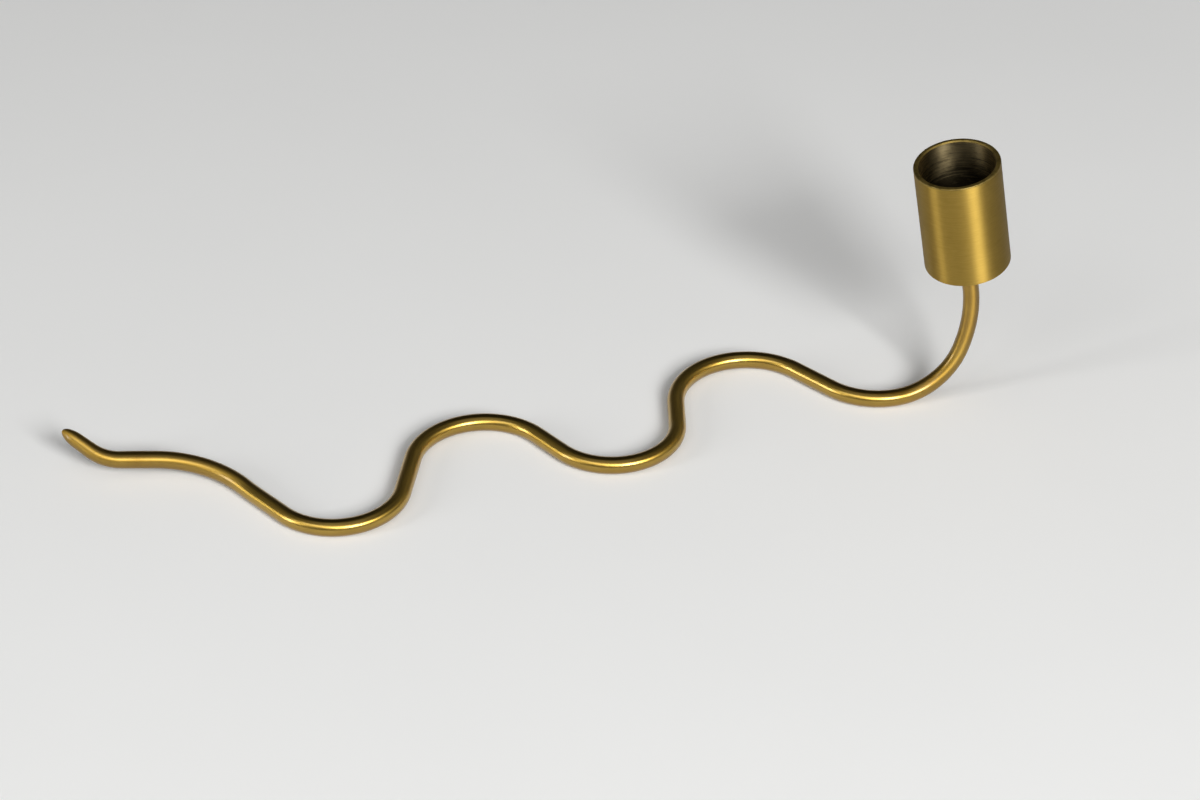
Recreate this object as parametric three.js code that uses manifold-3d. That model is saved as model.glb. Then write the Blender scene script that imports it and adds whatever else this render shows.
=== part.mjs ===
// Taper candle holder: one bent brass rod that is foot, neck and tail, a turned cup on its raised
// end, and the screw that holds the cup. Millimetres, +Z up, +X from the tail to the cup.
// The origin is on the table, at the middle of the object's plan.

import * as THREE from 'three';
import { mergeVertices } from 'three/addons/utils/BufferGeometryUtils.js';
import Module from 'manifold-3d';

// Rod
const rodDiameter = 5.2;
const rodSides = 16;
const bendStep = 6; // degrees of bend between two sections of the rod

// Neck: the raised end of the rod, a little thinner, that leans back over the wave at its top
const neckStraight = 10;
const neckUpperRadius = 43;
const neckUpperBend = 29;
const neckLowerRadius = 20;
const neckLean = 9.5; // degrees from upright
const neckDiameter = 4.9;
const neckPlain = 38; // length of the thinner stretch
const neckTaper = 10;
const neckChamfer = 0.25;

// Wave: bends by hand, each followed by a straight leg. A trough is a bend on the near side and a crest
// one on the far side, and turns are in degrees.
const firstTroughRadius = 20;
const firstTroughTurn = 62.5;
const firstLeg = 14;
const firstCrestRadius = 22;
const firstCrestTurn = 133.5;
const secondLeg = 11.5;
const secondTroughRadius = 19.5;
const secondTroughTurn = 139;
const thirdLeg = 11;
const secondCrestRadius = 21;
const secondCrestTurn = 130;
const fourthLeg = 16.5;
const thirdTroughRadius = 19.5;
const thirdTroughTurn = 128;
const fifthLeg = 14;
const waveBends = [
  { radius: firstTroughRadius, turn: firstTroughTurn, leg: firstLeg },
  { radius: firstCrestRadius, turn: firstCrestTurn, leg: secondLeg },
  { radius: secondTroughRadius, turn: secondTroughTurn, leg: thirdLeg },
  { radius: secondCrestRadius, turn: secondCrestTurn, leg: fourthLeg },
  { radius: thirdTroughRadius, turn: thirdTroughTurn, leg: fifthLeg },
];

// Tail: lifts off the table, opens out in a wide bend and kicks up at its tip
const tailLiftRadius = 40;
const tailLift = 5.5;
const tailBendRadius = 34;
const tailBend = 51;
const tailStraight = 9.5;
const tipBendRadius = 14;
const tipBend = 38;
const tipBendRoll = 26; // angle from the table to the plane of the tip's bend
const tipStraight = 10.5;
const tipTaper = 22;
const tipDiameter = 4.3;
const tipNose = 5.5;

// Cup, turned from bar
const cupDiameter = 25.4;
const cupHeight = 35;
const cupWall = 1.5;
const cupFloor = 4.5;
const cupRimRound = 0.4;
const cupMouthChamfer = 0.35;
const cupFootRound = 0.4;
const cupBoreCorner = 1;
const cupSegments = 48;
const seatGap = 0.3; // between the rod's end and the cup's foot

// Countersunk screw, flush with the cup's floor, with its thread left out
const screwCoreDiameter = 2.5;
const screwHeadDiameter = 5.5;
const screwLength = 12;
const screwPoint = 0.4;
const screwSlotWidth = 0.8;
const screwSlotDepth = 0.8;
const screwSegments = 24;
const screwClearance = 0.3; // around the core in the rod
const screwHoleClearance = 0.45; // around the core and the head in the cup's floor
const screwRunOut = 1.5; // free depth under the screw's end

const roundSteps = 4; // sections in each small rounded edge
const lean = THREE.MathUtils.degToRad(neckLean); // of the neck's end and of the cup on it

const wasm = await Module();
wasm.setup();

function brass(colour, roughness) {
  return new THREE.MeshStandardMaterial({ color: colour, roughness, metalness: 1 });
}

// Rounded corner of a lathe profile, about a centre, from one angle to another
function rounded(centreX, centreY, radius, fromDegrees, toDegrees) {
  const points = [];
  for (let step = 0; step <= roundSteps; step += 1) {
    const angle = THREE.MathUtils.degToRad(
      THREE.MathUtils.lerp(fromDegrees, toDegrees, step / roundSteps));
    points.push(new THREE.Vector2(
      centreX + radius * Math.cos(angle),
      centreY + radius * Math.sin(angle)));
  }
  return points;
}

// Closed, welded geometry turned about Z from a profile of (radius, height) that starts and ends
// on the axis or closes on itself
function turned(profile, segments) {
  const lathe = new THREE.LatheGeometry(profile, segments);
  lathe.rotateX(Math.PI / 2);
  lathe.deleteAttribute('normal');
  lathe.deleteAttribute('uv');
  return mergeVertices(lathe, 1e-5);
}

function toManifold(geometry) {
  return new wasm.Manifold(new wasm.Mesh({
    numProp: 3,
    vertProperties: new Float32Array(geometry.attributes.position.array),
    triVerts: new Uint32Array(geometry.index.array),
  }));
}

function fromManifold(solid) {
  const mesh = solid.getMesh();
  const geometry = new THREE.BufferGeometry();
  geometry.setAttribute('position', new THREE.BufferAttribute(mesh.vertProperties, 3));
  geometry.setIndex(new THREE.BufferAttribute(mesh.triVerts, 1));
  return geometry;
}

// The rod's centre line

// A straight piece, or a bend by an angle in degrees. Roll turns the bend's plane about the rod:
// 0 bends to the rod's side and 90 bends up.
const straight = (length) => ({ length, bend: 0, radius: 0, roll: 0 });
const bent = (radius, bend, roll) => (
  { length: radius * THREE.MathUtils.degToRad(bend), bend, radius, roll });

// Where the rod is, and how its section lies, after travelling along one stretch from its start
function travel(start, stretch, distance) {
  const { point, along, side, up } = start;
  if (stretch.bend === 0) {
    return { point: point.clone().addScaledVector(along, distance), along, side, up };
  }
  const roll = THREE.MathUtils.degToRad(stretch.roll);
  const inward = side.clone().multiplyScalar(Math.cos(roll)).addScaledVector(up, Math.sin(roll));
  const angle = distance / stretch.radius;
  const turn = new THREE.Quaternion().setFromAxisAngle(along.clone().cross(inward), angle);
  return {
    point: point.clone()
      .addScaledVector(along, stretch.radius * Math.sin(angle))
      .addScaledVector(inward, stretch.radius * (1 - Math.cos(angle))),
    along: along.clone().applyQuaternion(turn),
    side: side.clone().applyQuaternion(turn),
    up: up.clone().applyQuaternion(turn),
  };
}

function bendingList() {
  const stretches = [
    straight(neckStraight),
    bent(neckUpperRadius, neckUpperBend, 90),
    bent(neckLowerRadius, 90 + neckLean - neckUpperBend, 90),
  ];
  waveBends.forEach(({ radius, turn, leg }, index) => {
    stretches.push(bent(radius, turn, index % 2 === 0 ? 0 : 180), straight(leg));
  });
  stretches.push(
    bent(tailLiftRadius, tailLift, 90),
    bent(tailBendRadius, tailBend, 180),
    straight(tailStraight),
    bent(tipBendRadius, tipBend, tipBendRoll),
    straight(tipStraight));
  return stretches;
}

// The centre line as a function of the distance from the cup's foot, which is at the origin, with the
// distances at which the rod needs a section
function centreLine() {
  const side = new THREE.Vector3(0, 1, 0);
  const along = new THREE.Vector3(0, 0, -1).applyAxisAngle(side, -lean);
  let start = { point: new THREE.Vector3(), along, side, up: side.clone().cross(along) };
  let from = 0;
  const runs = [];
  const sections = [];
  for (const stretch of bendingList()) {
    const steps = Math.max(1, Math.ceil(stretch.bend / bendStep));
    for (let step = 1; step <= steps; step += 1) {
      sections.push(from + (stretch.length * step) / steps);
    }
    runs.push({ stretch, start, from });
    start = travel(start, stretch, stretch.length);
    from += stretch.length;
  }
  const at = (distance) => {
    const run = runs.findLast((item) => item.from <= distance) ?? runs[0];
    return travel(run.start, run.stretch, distance - run.from);
  };
  return { at, sections, length: from };
}

// Radius of the rod at a distance from the cup's foot: the thinner neck and its taper, the plain rod,
// the tail's taper and its rounded nose
function rodRadiusAt(distance, length) {
  const fromTip = length - distance;
  const neckShare = THREE.MathUtils.clamp((distance - neckPlain) / neckTaper, 0, 1);
  const neck = THREE.MathUtils.lerp(neckDiameter, rodDiameter, neckShare) / 2;
  const tailShare = Math.min(fromTip / tipTaper, 1);
  const tail = THREE.MathUtils.lerp(tipDiameter, rodDiameter, tailShare) / 2;
  const noseShare = 1 - Math.min(fromTip / tipNose, 1);
  return Math.min(neck, tail) * Math.sqrt(1 - noseShare * noseShare);
}

// A turned profile of { at, radius } swept along a bent centre line instead of a straight axis.
// It starts and ends on the line. The radius is the distance from the line to the facets.
function bentLathe(profile, line) {
  const cornerShare = 1 / Math.cos(Math.PI / rodSides);
  const positions = [];
  const indices = [];
  let previous = null;
  for (const { at, radius } of profile) {
    const { point, side, up } = line.at(at);
    const first = positions.length / 3;
    const count = radius === 0 ? 1 : rodSides;
    for (let k = 0; k < count; k += 1) {
      const angle = ((k + 0.5) * 2 * Math.PI) / rodSides;
      const corner = point.clone()
        .addScaledVector(side, cornerShare * radius * Math.cos(angle))
        .addScaledVector(up, cornerShare * radius * Math.sin(angle));
      positions.push(corner.x, corner.y, corner.z);
    }
    if (previous) {
      for (let k = 0; k < rodSides; k += 1) {
        const next = (k + 1) % rodSides;
        const a = previous.first + (previous.count === 1 ? 0 : k);
        const b = previous.first + (previous.count === 1 ? 0 : next);
        const c = first + (count === 1 ? 0 : k);
        const d = first + (count === 1 ? 0 : next);
        if (a !== b) indices.push(a, c, b);
        if (c !== d) indices.push(b, c, d);
      }
    }
    previous = { first, count };
  }
  const geometry = new THREE.BufferGeometry();
  geometry.setAttribute('position', new THREE.Float32BufferAttribute(positions, 3));
  geometry.setIndex(indices);
  return geometry;
}

function serpentRod() {
  const line = centreLine();
  const boreRadius = screwCoreDiameter / 2 + screwClearance;
  const boreDepth = screwLength - cupFloor + screwRunOut;
  const noseStart = line.length - tipNose;
  const sectionAt = (distance) => ({ at: distance, radius: rodRadiusAt(distance, line.length) });
  const profile = [
    { at: boreDepth + boreRadius / 2, radius: 0 },
    { at: boreDepth, radius: boreRadius },
    { at: seatGap, radius: boreRadius },
    { at: seatGap, radius: neckDiameter / 2 - neckChamfer },
    sectionAt(seatGap + neckChamfer),
  ];
  const distances = [...line.sections, neckPlain, neckPlain + neckTaper, line.length - tipTaper]
    .filter((distance) => distance < noseStart - tipNose / 2)
    .sort((a, b) => a - b);
  distances.forEach((distance) => profile.push(sectionAt(distance)));
  for (let step = 0; step < roundSteps; step += 1) {
    const angle = (step / roundSteps) * (Math.PI / 2);
    profile.push(sectionAt(noseStart + tipNose * Math.sin(angle)));
  }
  profile.push({ at: line.length, radius: 0 });
  const mesh = new THREE.Mesh(bentLathe(profile, line), brass(0xa58339, 0.25));
  mesh.name = 'serpent_rod';
  return mesh;
}

function candleCup() {
  const outer = cupDiameter / 2;
  const bore = outer - cupWall;
  const hole = screwCoreDiameter / 2 + screwHoleClearance;
  const countersink = screwHeadDiameter / 2 + screwHoleClearance;
  const profile = [
    new THREE.Vector2(hole, 0),
    ...rounded(outer - cupFootRound, cupFootRound, cupFootRound, -90, 0),
    ...rounded(outer - cupRimRound, cupHeight - cupRimRound, cupRimRound, 0, 90),
    new THREE.Vector2(bore + cupMouthChamfer, cupHeight),
    new THREE.Vector2(bore, cupHeight - cupMouthChamfer),
    ...rounded(bore - cupBoreCorner, cupFloor + cupBoreCorner, cupBoreCorner, 0, -90),
    new THREE.Vector2(countersink, cupFloor),
    new THREE.Vector2(hole, cupFloor - (countersink - hole)),
    new THREE.Vector2(hole, 0),
  ];
  const mesh = new THREE.Mesh(turned(profile, cupSegments), brass(0x8f7228, 0.4));
  mesh.name = 'candle_cup';
  return mesh;
}

function cupScrew() {
  const core = screwCoreDiameter / 2;
  const head = screwHeadDiameter / 2;
  const profile = [
    new THREE.Vector2(0, -screwLength),
    new THREE.Vector2(core - screwPoint, -screwLength),
    new THREE.Vector2(core, screwPoint - screwLength),
    new THREE.Vector2(core, core - head),
    new THREE.Vector2(head, 0),
    new THREE.Vector2(0, 0),
  ];
  const slot = new THREE.BoxGeometry(2 * screwHeadDiameter, screwSlotWidth, 2 * screwSlotDepth);
  slot.deleteAttribute('normal');
  slot.deleteAttribute('uv');
  const solid = toManifold(turned(profile, screwSegments)).subtract(toManifold(mergeVertices(slot)));
  const mesh = new THREE.Mesh(fromManifold(solid), brass(0x9c8340, 0.35));
  mesh.name = 'cup_screw';
  mesh.position.z = cupFloor;
  return mesh;
}

const cupOnNeck = new THREE.Group();
cupOnNeck.add(candleCup(), cupScrew());
cupOnNeck.rotation.y = -lean;
const holder = new THREE.Group();
holder.add(serpentRod(), cupOnNeck);

// Centre the plan on the origin, with the lowest faces on the table
const box = new THREE.Box3().setFromObject(holder, true);
const centre = box.getCenter(new THREE.Vector3());
holder.position.set(-centre.x, -centre.y, -box.min.z);
holder.updateMatrixWorld(true);

export default holder;
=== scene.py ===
import math

import bpy
from mathutils import Matrix, Quaternion, Vector, noise

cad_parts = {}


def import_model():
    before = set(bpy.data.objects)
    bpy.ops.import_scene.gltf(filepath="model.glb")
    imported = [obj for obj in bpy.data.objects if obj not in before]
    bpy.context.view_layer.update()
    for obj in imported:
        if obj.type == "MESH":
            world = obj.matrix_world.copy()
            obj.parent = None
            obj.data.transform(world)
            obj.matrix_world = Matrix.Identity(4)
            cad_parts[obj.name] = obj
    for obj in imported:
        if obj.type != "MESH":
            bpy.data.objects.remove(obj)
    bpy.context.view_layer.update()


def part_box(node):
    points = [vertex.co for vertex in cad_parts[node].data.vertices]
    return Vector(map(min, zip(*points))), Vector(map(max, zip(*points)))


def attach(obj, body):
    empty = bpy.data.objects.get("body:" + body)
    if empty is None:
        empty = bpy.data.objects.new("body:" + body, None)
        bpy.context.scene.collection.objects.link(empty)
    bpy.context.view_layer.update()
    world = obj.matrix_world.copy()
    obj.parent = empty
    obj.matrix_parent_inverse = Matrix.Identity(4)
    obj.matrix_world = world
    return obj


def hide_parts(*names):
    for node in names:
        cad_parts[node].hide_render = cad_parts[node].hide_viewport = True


# Taper candle holder: one bent brass rod that is foot, neck and tail, a turned cup on its raised end,
# and the countersunk screw that holds the cup. Their sizes are written in millimetres. The scene is in
# metres, with +Z up and +X from the tail to the cup.

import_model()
cup_low, cup_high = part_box("candle_cup")

MM = 0.001

# Rod, in millimetres and degrees along its bending list, from the cup's foot to the tail's tip
ROD_DIAMETER = 5.2
NECK_STRAIGHT = 10
NECK_UPPER_RADIUS = 43
NECK_UPPER_BEND = 29
NECK_LOWER_RADIUS = 20
NECK_LEAN = 9.5  # how far the cup leans back over the wave
NECK_DIAMETER = 4.9
NECK_PLAIN = 38  # length of the neck that has its own diameter
NECK_TAPER = 10  # length over which it grows to the rod's
NECK_CHAMFER = 0.25
WAVE_BENDS = (  # radius, turn and the leg after it
    (20, 62.5, 14),
    (22, 133.5, 11.5),
    (19.5, 139, 11),
    (21, 130, 16.5),
    (19.5, 128, 14),
)
TAIL_LIFT_RADIUS = 40
TAIL_LIFT = 5.5
TAIL_BEND_RADIUS = 34
TAIL_BEND = 51
TAIL_STRAIGHT = 9.5
TIP_BEND_RADIUS = 14
TIP_BEND = 38
TIP_BEND_ROLL = 26
TIP_STRAIGHT = 10.5
TIP_TAPER = 22  # length over which the tail narrows to its tip
TIP_DIAMETER = 4.3
TIP_NOSE = 5.5  # length of the rounded nose

# Ways that a bend can turn, in degrees round the rod
SIDEWAYS = 0
UPWARDS = 90
OTHER_WAY = 180

ROD_SIDES = 48
ROD_STEP = 0.8
ROD_SHARP = 30  # degrees between faces from which an edge is drawn sharp
NOSE_STEPS = 12
ROD_UNEVEN = 0.02  # how far the hand-bent surface dips below the full round
ROD_UNEVEN_LENGTH = 12  # length of a dip along the rod
ROD_UNEVEN_ROUND = 0.55  # how much the dips differ round the rod
DULL_NECK = 45  # length of the duller surface from the cup's foot
DULL_TAIL = 44  # length of the duller surface from the tail's tip
DULL_FADE = 22  # length over which either fades into the brighter wave

# Cup
CUP_HEIGHT = 35
CUP_WALL = 1.5
CUP_FLOOR = 4.5
CUP_RIM_ROUND = 0.4
CUP_MOUTH_CHAMFER = 0.35
CUP_FOOT_ROUND = 0.4
CUP_BORE_CORNER = 1
CUP_SEGMENTS = 192
CUP_SHARP = 25
CORNER_STEPS = 8
WALL_STEPS = 12
OUTSIDE, BORE, RIM = 0, 1, 2  # places of the cup's materials in its list
BORE_DARKEST_DEPTH = 17  # depth below the mouth at which the bore is darkest
BORE_RING_PITCH = 0.5
BORE_RING_DEPTH = 0.035
FLOOR_RING_PITCH = 0.35
FLOOR_RING_DEPTH = 0.012
RING_STEPS = 3  # steps along the surface for one tool ring

# Screw
SCREW_LENGTH = 12
SCREW_CORE_DIAMETER = 2.5
SCREW_THREAD_DIAMETER = 3.0
SCREW_THREAD_PITCH = 0.5
SCREW_THREAD_RUN_OUT = 1.0
SCREW_THREAD_RIDGE = 0.4  # half the width of the thread's ridge, as a share of the pitch
SCREW_THREAD_STEPS = 8  # rings of points a turn of the thread
SCREW_END_CHAMFER = 0.4
SCREW_HEAD_DIAMETER = 5.5
SCREW_SLOT_WIDTH = 0.8
SCREW_SLOT_DEPTH = 0.8
SCREW_HOLE_CLEARANCE = 0.45  # gap between the screw and the cup
SCREW_CLEARANCE = 0.3  # gap between the screw's core and the rod
SCREW_RUN_OUT = 1.5  # depth of the rod's bore past the screw's end
SCREW_SEGMENTS = 48
SCREW_SHARP = 30

# The cup and the screw stand on the neck's end, which leans back over the wave. The cup's outside is
# the same at both ends, so the middle of its box is the middle of its height.
lean = Quaternion((0, 1, 0), -math.radians(NECK_LEAN))
cup_foot = (cup_low + cup_high) / 2 / MM - lean @ Vector((0, 0, CUP_HEIGHT / 2))


def on_top(x, y, z):
    """A place in millimetres from the cup's foot, with z along the cup's axis."""
    return cup_foot + lean @ Vector((x, y, z))


# Rod's centre line


def straight(length):
    return {"length": length, "radius": 0, "roll": 0}


def bent(radius, degrees, roll):
    return {"length": radius * math.radians(degrees), "radius": radius, "roll": math.radians(roll)}


def travel(start, stretch, distance):
    """Where the rod is, and how its section lies, after a distance along one stretch."""
    point, along, side, up = start
    radius = stretch["radius"]
    if radius == 0:
        return point + along * distance, along, side, up
    inward = side * math.cos(stretch["roll"]) + up * math.sin(stretch["roll"])
    angle = distance / radius
    turn = Quaternion(along.cross(inward), angle)
    moved = along * (radius * math.sin(angle)) + inward * (radius * (1 - math.cos(angle)))
    return point + moved, turn @ along, turn @ side, turn @ up


def bending_list():
    stretches = [
        straight(NECK_STRAIGHT),
        bent(NECK_UPPER_RADIUS, NECK_UPPER_BEND, UPWARDS),
        bent(NECK_LOWER_RADIUS, 90 + NECK_LEAN - NECK_UPPER_BEND, UPWARDS),
    ]
    for index, (radius, turn, leg) in enumerate(WAVE_BENDS):
        stretches += [bent(radius, turn, OTHER_WAY if index % 2 else SIDEWAYS), straight(leg)]
    stretches += [
        bent(TAIL_LIFT_RADIUS, TAIL_LIFT, UPWARDS),
        bent(TAIL_BEND_RADIUS, TAIL_BEND, OTHER_WAY),
        straight(TAIL_STRAIGHT),
        bent(TIP_BEND_RADIUS, TIP_BEND, TIP_BEND_ROLL),
        straight(TIP_STRAIGHT),
    ]
    return stretches


class CentreLine:
    """The rod's centre line in millimetres, from the cup's foot."""

    def __init__(self):
        side = Vector((0, 1, 0))
        along = lean @ Vector((0, 0, -1))
        start = (cup_foot, along, side, side.cross(along))
        self.runs = []
        self.length = 0
        for stretch in bending_list():
            self.runs.append((self.length, stretch, start))
            start = travel(start, stretch, stretch["length"])
            self.length += stretch["length"]

    def at(self, distance):
        begin, stretch, start = [run for run in self.runs if run[0] <= distance][-1]
        return travel(start, stretch, distance - begin)


def lerp(a, b, share):
    """Between a and b, and never beyond them."""
    return a + (b - a) * min(max(share, 0), 1)


def rod_radius(distance, length):
    """Radius of the full round at a distance from the cup's foot."""
    from_tip = length - distance
    neck = lerp(NECK_DIAMETER, ROD_DIAMETER, (distance - NECK_PLAIN) / NECK_TAPER) / 2
    tail = lerp(TIP_DIAMETER, ROD_DIAMETER, from_tip / TIP_TAPER) / 2
    nose = 1 - min(from_tip / TIP_NOSE, 1)
    return min(neck, tail) * math.sqrt(1 - nose * nose)


def unevenness(distance, angle):
    """How far hand bending leaves the surface below the full round."""
    place = Vector((
        distance / ROD_UNEVEN_LENGTH,
        ROD_UNEVEN_ROUND * math.cos(angle),
        ROD_UNEVEN_ROUND * math.sin(angle),
    ))
    return ROD_UNEVEN * (0.5 + 0.5 * noise.noise(place))


# Meshes


def finish_mesh(name, points, faces, uvs, material_of_face, materials, sharp_degrees):
    """A smooth-shaded object in metres from points in millimetres and one uv list a face."""
    mesh = bpy.data.meshes.new(name)
    mesh.from_pydata([Vector(p) * MM for p in points], [], faces)
    layer = mesh.uv_layers.new(name="UVMap")
    for polygon, corners in zip(mesh.polygons, uvs):
        for loop, uv in zip(polygon.loop_indices, corners):
            layer.data[loop].uv = uv
    for material in materials:
        mesh.materials.append(material)
    for polygon, slot in zip(mesh.polygons, material_of_face):
        polygon.material_index = slot
    mesh.validate()
    mesh.shade_smooth()
    mesh.set_sharp_from_angle(angle=math.radians(sharp_degrees))
    made = bpy.data.objects.new(name, mesh)
    bpy.context.scene.collection.objects.link(made)
    return made


def skin(rings, closed_profile):
    """Points, faces, uvs and material slots of a skin over rings, each given as (points, u, slot). A ring of
    one point closes an end. The uv's v runs round each ring."""
    points, faces, uvs, slots, firsts = [], [], [], [], []
    for ring_points, u, slot in rings:
        firsts.append(len(points))
        points += ring_points
    pairs = list(zip(range(len(rings) - 1), range(1, len(rings))))
    if closed_profile:
        pairs.append((len(rings) - 1, 0))
    for a, b in pairs:
        count_a, count_b = len(rings[a][0]), len(rings[b][0])
        count = max(count_a, count_b)
        u_a, u_b = rings[a][1], rings[b][1]
        for k in range(count):
            n = (k + 1) % count
            v, w = k / count, (k + 1) / count
            corners = []
            if count_a > 1:
                corners += [(firsts[a] + n, (u_a, w)), (firsts[a] + k, (u_a, v))]
            else:
                corners += [(firsts[a], (u_a, (v + w) / 2))]
            if count_b > 1:
                corners += [(firsts[b] + k, (u_b, v)), (firsts[b] + n, (u_b, w))]
            else:
                corners += [(firsts[b], (u_b, (v + w) / 2))]
            faces.append([c[0] for c in corners])
            uvs.append([c[1] for c in corners])
            slots.append(rings[b][2])
    return points, faces, uvs, slots


def rod_mesh(line, materials):
    """The rod round its centre line, from the screw's bore in its upper end to the tail's rounded nose."""
    bore_radius = SCREW_CORE_DIAMETER / 2 + SCREW_CLEARANCE
    bore_depth = SCREW_LENGTH - CUP_FLOOR + SCREW_RUN_OUT
    bore_point = bore_radius / 2
    length = line.length
    profile = [
        (bore_depth + bore_point, 0),
        (bore_depth, bore_radius),
        (0, bore_radius),
        (0, NECK_DIAMETER / 2 - NECK_CHAMFER),
        (NECK_CHAMFER, rod_radius(NECK_CHAMFER, length)),
    ]
    distance = NECK_CHAMFER + ROD_STEP
    while distance < length - TIP_NOSE - ROD_STEP / 2:
        profile.append((distance, rod_radius(distance, length)))
        distance += ROD_STEP
    for step in range(NOSE_STEPS):
        at = length - TIP_NOSE + TIP_NOSE * math.sin(math.pi / 2 * step / NOSE_STEPS)
        profile.append((at, rod_radius(at, length)))
    profile.append((length, 0))
    rings = []
    for at, radius in profile:
        centre, along, side, up = line.at(at)
        if radius == 0:
            rings.append(([centre], at * MM, 0))
            continue
        ring = []
        for k in range(ROD_SIDES):
            angle = 2 * math.pi * (k + 0.5) / ROD_SIDES
            out = side * math.cos(angle) + up * math.sin(angle)
            dip = unevenness(at, angle) if radius > bore_radius + ROD_UNEVEN else 0
            ring.append(centre + out * (radius - dip))
        rings.append((ring, at * MM, 0))
    points, faces, uvs, slots = skin(rings, False)
    return finish_mesh("serpent_rod_surface", points, faces, uvs, slots, materials, ROD_SHARP)


def corner(centre_r, centre_z, radius, start, end):
    """Rounded corner of a turned profile, between two angles in degrees."""
    made = []
    for step in range(CORNER_STEPS + 1):
        angle = math.radians(start + (end - start) * step / CORNER_STEPS)
        made.append((centre_r + radius * math.cos(angle), centre_z + radius * math.sin(angle)))
    return made


def tool_mark(step):
    """Share of a tool ring's full depth at a step along the surface."""
    return 0.5 - 0.5 * math.cos(2 * math.pi * step / RING_STEPS)


def cup_profile():
    """Profile of the cup over its foot, as (radius, height, slot): up the outside, over the rim and down
    the bore."""
    outer = (cup_high.y - cup_low.y) / 2 / MM
    bore = outer - CUP_WALL
    hole = SCREW_CORE_DIAMETER / 2 + SCREW_HOLE_CLEARANCE
    sink = SCREW_HEAD_DIAMETER / 2 + SCREW_HOLE_CLEARANCE
    outside = [(hole, 0)]
    outside += corner(outer - CUP_FOOT_ROUND, CUP_FOOT_ROUND, CUP_FOOT_ROUND, -90, 0)
    low, high = CUP_FOOT_ROUND, CUP_HEIGHT - CUP_RIM_ROUND
    outside += [(outer, low + (high - low) * k / WALL_STEPS) for k in range(1, WALL_STEPS)]
    rim = corner(outer - CUP_RIM_ROUND, high, CUP_RIM_ROUND, 0, 90)
    outside.append(rim.pop(0))
    top = CUP_HEIGHT - CUP_MOUTH_CHAMFER
    rim += [(bore + CUP_MOUTH_CHAMFER, CUP_HEIGHT), (bore, top)]
    inside = []
    bottom = CUP_FLOOR + CUP_BORE_CORNER
    steps = round((top - bottom) / BORE_RING_PITCH) * RING_STEPS
    for k in range(1, steps):
        inside.append((bore + BORE_RING_DEPTH * tool_mark(k), top + (bottom - top) * k / steps))
    inside += corner(bore - CUP_BORE_CORNER, bottom, CUP_BORE_CORNER, 0, -90)
    start = bore - CUP_BORE_CORNER
    steps = round((start - sink) / FLOOR_RING_PITCH) * RING_STEPS
    for k in range(1, steps):
        inside.append((start + (sink - start) * k / steps, CUP_FLOOR - FLOOR_RING_DEPTH * tool_mark(k)))
    inside += [(sink, CUP_FLOOR), (hole, CUP_FLOOR - (sink - hole))]
    parts = ((OUTSIDE, outside), (RIM, rim), (BORE, inside))
    return [(r, z, slot) for slot, part in parts for r, z in part]


def turned_rings(profile, segments):
    """Rings about the cup's axis from a profile of (radius, height, slot), with u as the profile's length."""
    rings, run, last = [], 0, None
    for radius, height, slot in profile:
        if last is not None:
            run += math.hypot(radius - last[0], height - last[1])
        last = (radius, height)
        ring = []
        for k in range(segments):
            angle = 2 * math.pi * k / segments
            ring.append(on_top(radius * math.cos(angle), radius * math.sin(angle), height))
        rings.append((ring, run * MM, slot))
    return rings


def cup_mesh():
    rings = turned_rings(cup_profile(), CUP_SEGMENTS)
    mouth = next(u for ring, u, slot in rings if slot == BORE)
    materials = [cup_brass(), bore_brass(mouth), rim_brass()]
    points, faces, uvs, slots = skin(rings, True)
    faces = [face[::-1] for face in faces]
    uvs = [corners[::-1] for corners in uvs]
    return finish_mesh("candle_cup_surface", points, faces, uvs, slots, materials, CUP_SHARP)


def screw_mesh(materials):
    """Countersunk screw: a core whose thread is a ridge that climbs round it, and a slotted head."""
    length = SCREW_LENGTH
    core, head = SCREW_CORE_DIAMETER / 2, SCREW_HEAD_DIAMETER / 2
    ridge = (SCREW_THREAD_DIAMETER - SCREW_CORE_DIAMETER) / 2
    head_height = head - core
    thread_top = head_height + SCREW_THREAD_RUN_OUT
    low = SCREW_END_CHAMFER - length
    levels = [(core - SCREW_END_CHAMFER, -length), (core, low)]
    steps = round((-low - thread_top) / SCREW_THREAD_PITCH * SCREW_THREAD_STEPS)
    for k in range(1, steps):
        levels.append((core, low + (-thread_top - low) * k / steps))
    levels += [(core, -thread_top), (core, -head_height), (head, 0)]
    rings = [([on_top(0, 0, CUP_FLOOR - length)], 0, 0)]
    for radius, level in levels:
        ring = []
        threaded = low < level < -thread_top
        for k in range(SCREW_SEGMENTS):
            share = k / SCREW_SEGMENTS
            from_crest = abs((level / SCREW_THREAD_PITCH - share) % 1 - 0.5)
            rise = ridge * max(0, 1 - from_crest / SCREW_THREAD_RIDGE) if threaded else 0
            angle = 2 * math.pi * share
            reach = radius + rise
            ring.append(on_top(reach * math.cos(angle), reach * math.sin(angle), CUP_FLOOR + level))
        rings.append((ring, (level + length) * MM, 0))
    rings.append(([on_top(0, 0, CUP_FLOOR)], length * MM, 0))
    points, faces, uvs, slots = skin(rings, False)
    faces = [face[::-1] for face in faces]
    uvs = [corners[::-1] for corners in uvs]
    made = finish_mesh("cup_screw_surface", points, faces, uvs, slots, materials, SCREW_SHARP)
    cut_slot(made)
    return made


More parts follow.
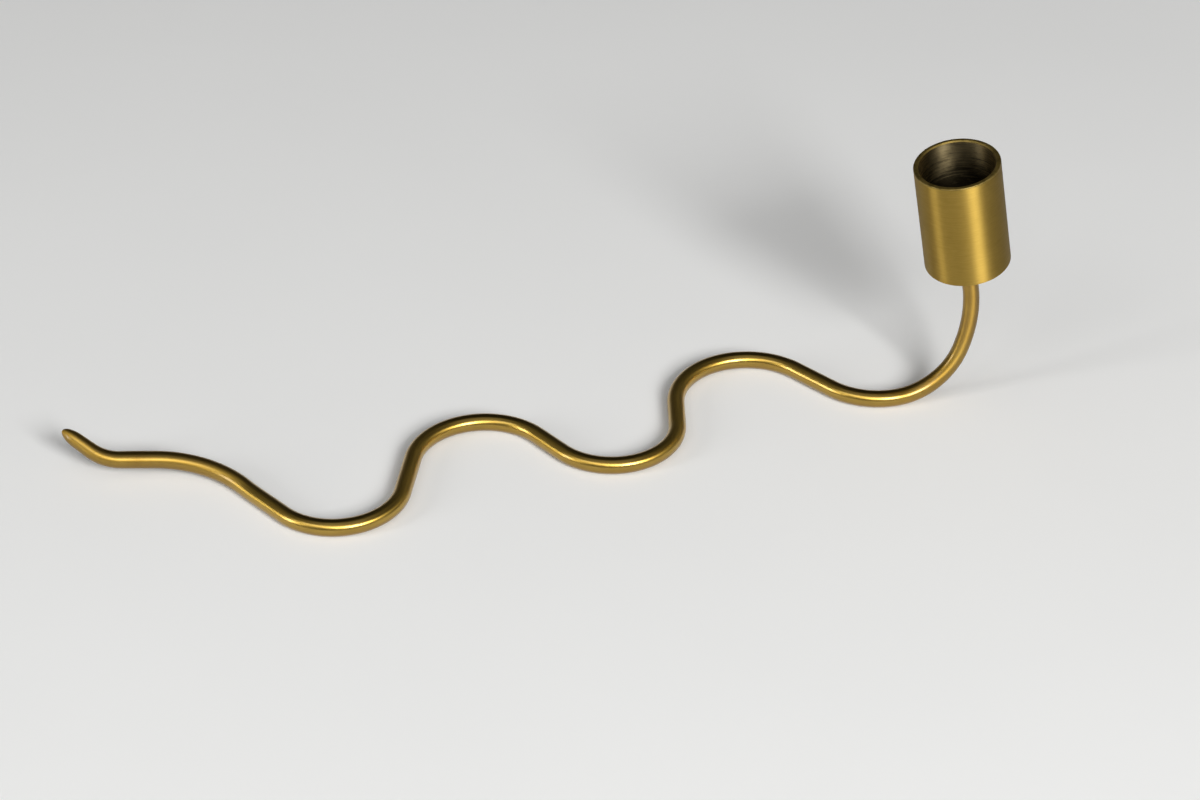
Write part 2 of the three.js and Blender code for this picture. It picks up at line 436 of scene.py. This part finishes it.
def cut_slot(screw):
    """Cuts the driver slot across the screw's head."""
    half_width = SCREW_SLOT_WIDTH / 2 * MM
    half_length = SCREW_HEAD_DIAMETER * MM
    depth = SCREW_SLOT_DEPTH * MM
    cutter_mesh = bpy.data.meshes.new("slot_cutter")
    corners = [
        (x, y, z)
        for z in (-depth, depth)
        for x, y in (
            (-half_length, -half_width),
            (half_length, -half_width),
            (half_length, half_width),
            (-half_length, half_width),
        )
    ]
    sides = [(0, 3, 2, 1), (4, 5, 6, 7), (0, 1, 5, 4), (1, 2, 6, 5), (2, 3, 7, 6), (3, 0, 4, 7)]
    cutter_mesh.from_pydata(corners, [], sides)
    cutter = bpy.data.objects.new("slot_cutter", cutter_mesh)
    cutter.location = on_top(0, 0, CUP_FLOOR) * MM
    cutter.rotation_mode = "QUATERNION"
    cutter.rotation_quaternion = lean
    bpy.context.scene.collection.objects.link(cutter)
    cut = screw.modifiers.new("slot", "BOOLEAN")
    cut.operation = "DIFFERENCE"
    cut.solver = "EXACT"
    cut.object = cutter
    bpy.context.view_layer.update()
    evaluated = screw.evaluated_get(bpy.context.evaluated_depsgraph_get())
    mesh = bpy.data.meshes.new_from_object(evaluated)
    screw.modifiers.clear()
    screw.data = mesh
    bpy.data.objects.remove(cutter)


# Materials


class Nodes:
    """Builds a material or a world round its shader. The values it takes are numbers, colours or nodes'
    outputs."""

    def __init__(self, owner, shader="Principled BSDF"):
        owner.use_nodes = True
        self.owner = owner
        self.tree = owner.node_tree
        self.shader = self.tree.nodes[shader]

    def put(self, socket, value):
        if isinstance(value, bpy.types.NodeSocket):
            self.tree.links.new(value, socket)
        else:
            socket.default_value = value

    def surface(self, **values):
        """Sets the shader's own sockets, with _ for a space in a name."""
        for key, value in values.items():
            self.put(self.shader.inputs[key.replace("_", " ")], value)

    def add(self, kind, settings=None, **inputs):
        made = self.tree.nodes.new(kind)
        for key, value in (settings or {}).items():
            setattr(made, key, value)
        for key, value in inputs.items():
            self.put(made.inputs[key.replace("_", " ")], value)
        return made

    def math(self, operation, *values):
        made = self.add("ShaderNodeMath", {"operation": operation})
        for socket, value in zip(made.inputs, values):
            self.put(socket, value)
        return made.outputs["Value"]

    def times(self, a, b):
        return self.math("MULTIPLY", a, b)

    def plus(self, a, b):
        return self.math("ADD", a, b)

    def place(self):
        return self.add("ShaderNodeTexCoord").outputs["Object"]

    def uv(self):
        uv = self.add("ShaderNodeUVMap", {"uv_map": "UVMap"}).outputs["UV"]
        parts = self.add("ShaderNodeSeparateXYZ", Vector=uv).outputs
        return parts["X"], parts["Y"]

    def around(self, along, across):
        """A coordinate that runs along the uv's u and round with its v, with no seam where v starts again."""
        u, v = self.uv()
        angle = self.times(v, 2 * math.pi)
        made = self.add(
            "ShaderNodeCombineXYZ",
            X=self.times(u, along),
            Y=self.times(self.math("COSINE", angle), across),
            Z=self.times(self.math("SINE", angle), across),
        )
        return made.outputs["Vector"]

    def noise(self, coordinate, scale, detail, roughness):
        made = self.add("ShaderNodeTexNoise", Vector=coordinate, Scale=scale)
        made.inputs["Detail"].default_value = detail
        made.inputs["Roughness"].default_value = roughness
        return made.outputs["Fac"]

    def ramp(self, value, span=(0, 1), result=(0, 1), kind="LINEAR"):
        """Goes from the first result to the second as the value crosses the span, and is level beyond it."""
        made = self.add("ShaderNodeMapRange", {"interpolation_type": kind}, Value=value)
        for key, number in zip(("From Min", "From Max", "To Min", "To Max"), span + result):
            made.inputs[key].default_value = number
        return made.outputs["Result"]

    def mix(self, share, a, b):
        return self.add("ShaderNodeMix", {"data_type": "RGBA"}, Factor=share, A=a, B=b).outputs["Result"]

    def bump(self, height, strength, depth):
        made = self.add("ShaderNodeBump", Strength=strength, Distance=depth, Height=height)
        self.surface(Normal=made.outputs["Normal"])

    def stretch(self, amount):
        """Draws highlights out along the uv's u, as fine scratches across it do."""
        made = self.add("ShaderNodeTangent", {"direction_type": "UV_MAP", "uv_map": "UVMap"})
        self.surface(Tangent=made.outputs["Tangent"], Anisotropic=amount)


def new_material(name):
    return Nodes(bpy.data.materials.new(name))


# Colours, as linear red, green, blue and alpha
ROD_BRASS = (0.49, 0.318, 0.058, 1)
ROD_BROWN = (0.35, 0.205, 0.032, 1)
# painted shade: colour of the rod's downward-facing side
ROD_UNDERSIDE_SHADE = (0.28, 0.172, 0.028, 1)
CUP_BRASS = (0.44, 0.292, 0.064, 1)
CUP_OLIVE = (0.327, 0.214, 0.04, 1)
RIM_BRASS = (0.3, 0.21, 0.055, 1)
RIM_DARK = (0.13, 0.09, 0.02, 1)
BORE_BRASS = (0.42, 0.33, 0.17, 1)
BORE_DARK = (0.045, 0.035, 0.018, 1)
FLOOR_COLOUR = (0.905, 0.905, 0.893, 1)
FLOOR_PATCHES = 0.985  # brightness of the floor's darkest patches, as a share of its colour

# Height of the marks that the bump shows, in metres
DRAW_MARKS = 0.00004
LATHE_MARKS = 0.00003
BORE_MARKS = 0.00006


def rod_brass(length):
    """Semi-polished brass beneath a thin clear film, with lengthwise draw lines, handling marks, faint brown
    tarnish and painted shade that darkens the underside. The neck and the tail's end are duller than the
    wave."""
    n = new_material("rod_brass")
    u, v = n.uv()
    tarnish = n.ramp(n.noise(n.place(), scale=90, detail=5, roughness=0.6), span=(0.42, 0.72))
    lines = n.noise(n.around(along=60, across=9), scale=1, detail=3, roughness=0.6)
    marks = n.noise(n.place(), scale=900, detail=3, roughness=0.6)
    neck = n.ramp(u, span=(DULL_NECK * MM, (DULL_NECK + DULL_FADE) * MM), result=(1, 0))
    tail = n.ramp(u, span=((length - DULL_TAIL - DULL_FADE) * MM, (length - DULL_TAIL) * MM))
    dull = n.plus(neck, tail)
    downwards = n.math("SINE", n.times(v, -2 * math.pi))
    # Painted shade: darkens the side of the rod that faces down, less of it on the neck.
    painted_underside_shade = n.times(n.ramp(downwards, span=(-0.3, 0.3), result=(0, 0.9)), n.ramp(neck, result=(1, 0.3)))
    brown = n.plus(n.times(tarnish, 0.5), n.times(dull, 0.4))
    fine = n.plus(
        n.ramp(tarnish, result=(0.31, 0.36)),
        n.ramp(lines, span=(0.35, 0.65), result=(-0.02, 0.02)),
    )
    n.surface(
        Base_Color=n.mix(painted_underside_shade, n.mix(brown, ROD_BRASS, ROD_BROWN), ROD_UNDERSIDE_SHADE),
        Roughness=n.plus(fine, n.times(dull, 0.2)),
        Metallic=1,
        Coat_Weight=0.5,
        Coat_Roughness=0.2,
    )
    n.bump(n.plus(n.times(lines, 0.6), n.times(marks, 0.4)), strength=0.12, depth=DRAW_MARKS)
    n.stretch(0.75)
    return n.owner


def cup_brass():
    """Satin brass with fine rings from the lathe, so that highlights draw out along the cup's height."""
    n = new_material("cup_brass")
    tarnish = n.ramp(n.noise(n.place(), scale=70, detail=5, roughness=0.6), span=(0.4, 0.75))
    rings = n.noise(n.around(along=5200, across=1), scale=1, detail=4, roughness=0.65)
    broad = n.noise(n.around(along=2400, across=4), scale=1, detail=3, roughness=0.6)
    middle = (0.3, 0.7)
    lines = n.plus(n.ramp(rings, middle, result=(0, 0.25)), n.ramp(broad, middle, result=(0, 0.35)))
    n.surface(
        Base_Color=n.mix(n.plus(n.times(tarnish, 0.35), lines), CUP_BRASS, CUP_OLIVE),
        Roughness=n.plus(
            n.ramp(rings, middle, result=(0.46, 0.52)),
            n.ramp(broad, middle, result=(-0.02, 0.02)),
        ),
        Metallic=1,
    )
    n.bump(rings, strength=0.25, depth=LATHE_MARKS)
    n.stretch(0.92)
    return n.owner


def rim_brass():
    """The cup's rim, with a dull film of oxide over the brass."""
    n = new_material("rim_brass")
    stain = n.ramp(n.noise(n.place(), scale=350, detail=4, roughness=0.6), span=(0.35, 0.65))
    rings = n.noise(n.around(along=6000, across=2), scale=1, detail=3, roughness=0.6)
    n.surface(
        Base_Color=n.mix(stain, RIM_BRASS, RIM_DARK),
        Roughness=n.ramp(stain, result=(0.42, 0.5)),
        Metallic=0.85,
    )
    n.bump(rings, strength=0.3, depth=LATHE_MARKS)
    return n.owner


def bore_brass(mouth):
    """Turned and darkened brass inside the bore, with tool rings, growing darker with the depth below
    the mouth's place along the uv's u."""
    n = new_material("bore_brass")
    patches = n.noise(n.place(), scale=160, detail=4, roughness=0.6)
    rings = n.noise(n.around(along=1500, across=1.2), scale=1, detail=4, roughness=0.75)
    # The bore grows darker with the depth below the mouth.
    depth_darkening = n.ramp(n.uv()[0], span=(mouth, mouth + BORE_DARKEST_DEPTH * MM))
    stain = n.plus(
        n.ramp(patches, span=(0.35, 0.7), result=(0, 0.5)),
        n.ramp(rings, span=(0.35, 0.65), result=(-0.4, 0.4)),
    )
    n.surface(
        Base_Color=n.mix(n.plus(stain, depth_darkening), BORE_BRASS, BORE_DARK),
        Roughness=n.ramp(rings, span=(0.3, 0.7), result=(0.34, 0.5)),
        Metallic=1,
    )
    n.bump(rings, strength=0.5, depth=BORE_MARKS)
    n.stretch(0.8)
    return n.owner


def screw_brass():
    """Plain machined brass with a little dirt."""
    n = new_material("screw_brass")
    dirt = n.ramp(n.noise(n.place(), scale=500, detail=5, roughness=0.6), span=(0.4, 0.7))
    n.surface(
        Base_Color=n.mix(n.times(dirt, 0.6), CUP_BRASS, BORE_DARK),
        Roughness=n.ramp(dirt, result=(0.28, 0.45)),
        Metallic=1,
    )
    n.bump(n.noise(n.place(), scale=2500, detail=3, roughness=0.6), strength=0.2, depth=LATHE_MARKS)
    return n.owner


def floor_material():
    n = new_material("pale_floor")
    faint = n.ramp(n.noise(n.place(), scale=9, detail=3, roughness=0.5), span=(0.3, 0.7))
    darker = tuple(FLOOR_PATCHES * c for c in FLOOR_COLOUR[:3]) + (1,)
    n.surface(Base_Color=n.mix(faint, FLOOR_COLOUR, darker), Roughness=0.95, Specular_IOR_Level=0.1)
    return n.owner


# Stage, camera and lamps, in metres and degrees

FLOOR_HALF = 6
FLOOR_DROP = 0.00005  # how far the floor lies below the rod's underside


def floor():
    mesh = bpy.data.meshes.new("floor")
    h = FLOOR_HALF
    mesh.from_pydata([(-h, -h, 0), (h, -h, 0), (h, h, 0), (-h, h, 0)], [], [(0, 1, 2, 3)])
    mesh.materials.append(floor_material())
    made = bpy.data.objects.new("floor", mesh)
    made.location.z = -FLOOR_DROP
    bpy.context.scene.collection.objects.link(made)


CAMERA_AZIMUTH = -20.07
CAMERA_ELEVATION = 35.65
CAMERA_DISTANCE = 1.0241
CAMERA_TARGET = Vector((0.0214, 0.0104, 0))
CAMERA_LENS = 102
SENSOR_WIDTH = 36


def direction(azimuth, elevation):
    """Unit vector towards a place at an azimuth to the right of the camera and an elevation, in degrees."""
    a, e = math.radians(CAMERA_AZIMUTH + azimuth), math.radians(elevation)
    return Vector((math.sin(a) * math.cos(e), -math.cos(a) * math.cos(e), math.sin(e)))


def camera():
    data = bpy.data.cameras.new("camera")
    data.lens = CAMERA_LENS
    data.sensor_width = SENSOR_WIDTH
    made = bpy.data.objects.new("camera", data)
    back = direction(0, CAMERA_ELEVATION)
    azimuth = math.radians(CAMERA_AZIMUTH)
    right = Vector((math.cos(azimuth), math.sin(azimuth), 0))
    turn = Matrix((right, back.cross(right), back)).transposed().to_4x4()
    made.matrix_world = Matrix.Translation(CAMERA_TARGET + back * CAMERA_DISTANCE) @ turn
    bpy.context.scene.collection.objects.link(made)
    bpy.context.scene.camera = made


def softbox(name, azimuth, elevation, distance, width, height, watts):
    """A rectangular lamp that faces the middle of the object."""
    data = bpy.data.lights.new(name, "AREA")
    data.shape = "RECTANGLE"
    data.size = width
    data.size_y = height
    data.energy = watts
    made = bpy.data.objects.new(name, data)
    towards = direction(azimuth, elevation)
    made.location = CAMERA_TARGET + towards * distance
    made.rotation_mode = "QUATERNION"
    made.rotation_quaternion = towards.to_track_quat("Z", "Y")
    bpy.context.scene.collection.objects.link(made)


WORLD_BRIGHTNESS = (0.3, 0.02)  # at the table's height and well above it
WORLD_FADE = (0.05, 0.2)  # heights of a ray's direction between which the room darkens


def world():
    """A dark room that is lighter near the table."""
    n = Nodes(bpy.data.worlds.new("room"), "Background")
    ray = n.add("ShaderNodeTexCoord").outputs["Generated"]
    height = n.add("ShaderNodeSeparateXYZ", Vector=ray).outputs["Z"]
    n.surface(Color=n.ramp(height, WORLD_FADE, WORLD_BRIGHTNESS, "SMOOTHSTEP"))
    bpy.context.scene.world = n.owner


# The holder

camera()
line = CentreLine()
rod = rod_mesh(line, [rod_brass(line.length)])
cup = cup_mesh()
screw = screw_mesh([screw_brass()])
for piece, node, slot in (
    (rod, "serpent_rod", "rod_brass"),
    (cup, "candle_cup", "cup_brass"),
    (screw, "cup_screw", "screw_brass"),
):
    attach(piece, "root")
    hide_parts(node)

floor()
softbox("key", azimuth=28, elevation=31, distance=2.5, width=0.95, height=0.8, watts=55.5)
softbox("front", azimuth=8, elevation=41, distance=2.5, width=1.6, height=0.9, watts=12)
softbox("left", azimuth=-68, elevation=18, distance=2, width=0.4, height=0.8, watts=11)
softbox("upper_left", azimuth=-40, elevation=46, distance=2, width=0.9, height=0.6, watts=4)
softbox("above", azimuth=0, elevation=78, distance=2, width=1.5, height=1.5, watts=2.8)
world()

bpy.context.scene.view_settings.view_transform = "Standard"
